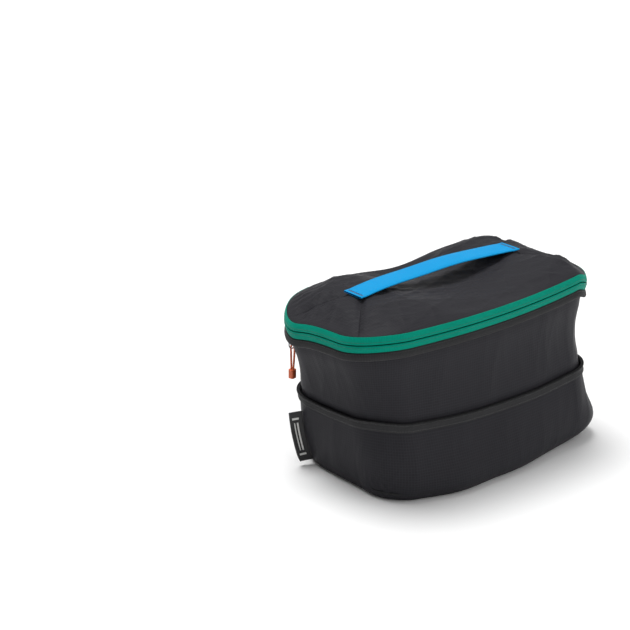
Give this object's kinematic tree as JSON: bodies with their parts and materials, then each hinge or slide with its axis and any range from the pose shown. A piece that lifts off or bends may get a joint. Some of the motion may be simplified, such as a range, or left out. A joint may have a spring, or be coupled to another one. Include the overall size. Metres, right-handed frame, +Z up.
{
  "type": "packing cube",
  "caption": "Expandable fabric packing cube: dark ripstop walls, green zipped lid with a blue webbing handle, open compression zipper below it and a side label.",
  "frame": {"origin": "middle of the underside of the base", "axes": "+Z up out of the lid, +X along the long side towards the end with the lid zipper pulls, -Y towards the long front face"},
  "size_m": [0.306, 0.1755, 0.1892],
  "materials": {
    "ripstop": "black ripstop nylon, soft crinkled sheen",
    "binding": "woven polyester binding tape",
    "green_tape": "knitted polyester zipper tape, green",
    "green_coil": "nylon coil teeth, green",
    "black_tape": "knitted polyester zipper tape, black",
    "black_coil": "nylon coil teeth, black",
    "blue_webbing": "woven nylon webbing, bright blue",
    "blue_thread": "bartack stitching",
    "label_cloth": "woven satin label with plain pale bars",
    "slider_metal": "nickel-plated die casting",
    "wire_metal": "nickel-plated spring wire",
    "stop_metal": "crimped metal stop",
    "cord_orange": "braided polyester cord, orange red",
    "cord_end_plastic": "moulded soft plastic, orange red"
  },
  "bodies": {
    "base": {"base_panel": "ripstop", "lower_wall": "ripstop", "base_binding": "binding", "wall_binding": "binding", "wall_seam_tape": "binding", "compression_tape_lower": "black_tape", "compression_coil_lower": "black_coil", "compression_stops_lower": "stop_metal", "expansion_gusset": "ripstop"},
    "rim": {"compression_tape_upper": "black_tape", "compression_coil_upper": "black_coil", "compression_stops_upper": "stop_metal", "rim_binding": "binding", "main_tape_lower": "green_tape", "main_coil_lower": "green_coil", "hinge_panel": "ripstop", "zipper_ends": "stop_metal"},
    "lid": {"lid_panel": "ripstop", "lid_end_left": "ripstop", "lid_end_right": "ripstop", "main_tape_upper": "green_tape", "main_coil_upper": "green_coil", "lid_binding": "binding", "handle_end_left": "blue_webbing", "handle_end_right": "blue_webbing", "handle_bartack_left": "blue_thread", "handle_bartack_right": "blue_thread"},
    "handle": {"handle_strap": "blue_webbing"},
    "label": {"side_label": "label_cloth"},
    "compression_slider": {"compression_slider": "slider_metal"},
    "compression_pull": {"compression_wire_pull": "wire_metal", "compression_pull_cord": "cord_orange", "compression_cord_end": "cord_end_plastic"},
    "front_slider": {"front_slider": "slider_metal"},
    "front_pull": {"front_wire_pull": "wire_metal", "front_pull_cord": "cord_orange", "front_cord_end": "cord_end_plastic"},
    "back_slider": {"back_slider": "slider_metal"},
    "back_pull": {"back_wire_pull": "wire_metal", "back_pull_cord": "cord_orange", "back_cord_end": "cord_end_plastic"}
  },
  "joints": [
    {"name": "compress", "type": "slide", "parent": "base", "child": "rim", "axis": [0, 0, 1], "range_m": [-0.0695, 0], "deforming": ["expansion_gusset"]},
    {"name": "lid_hinge", "type": "hinge", "parent": "rim", "child": "lid", "pos_m": [0, 0.0866, 0.16], "axis": [-1, 0, 0], "range_deg": [0, 165]},
    {"name": "handle_lift", "type": "slide", "parent": "lid", "child": "handle", "axis": [0, 0, 1], "range_m": [0, 0.012]},
    {"name": "label_fold", "type": "hinge", "parent": "base", "child": "label", "pos_m": [-0.13973, 0.05529, 0.038], "axis": [0, 0, 1], "range_deg": [-60, 60]},
    {"name": "compression_slider_run", "type": "hinge", "parent": "rim", "child": "compression_slider", "pos_m": [-0.096, 0.03004, 0.143], "axis": [0, 0, 1], "range_deg": [0, 28]},
    {"name": "compression_pull_swing", "type": "hinge", "parent": "compression_slider", "child": "compression_pull", "pos_m": [-0.10748, 0.08404, 0.143], "axis": [0.9781, 0.2079, 0], "range_deg": [0, 100]},
    {"name": "front_slider_run", "type": "slide", "parent": "rim", "child": "front_slider", "axis": [0, -1, 0], "range_m": [0, 0.044]},
    {"name": "front_pull_swing", "type": "hinge", "parent": "front_slider", "child": "front_pull", "pos_m": [0.1512, 0.02, 0.16], "axis": [0, -1, 0], "range_deg": [0, 100]},
    {"name": "back_slider_run", "type": "hinge", "parent": "rim", "child": "back_slider", "pos_m": [0.096, 0.03004, 0.16], "axis": [0, 0, 1], "range_deg": [0, 30]},
    {"name": "back_pull_swing", "type": "hinge", "parent": "back_slider", "child": "back_pull", "pos_m": [0.14999, 0.04152, 0.16], "axis": [0.2079, -0.9781, 0], "range_deg": [0, 100]}
  ]
}
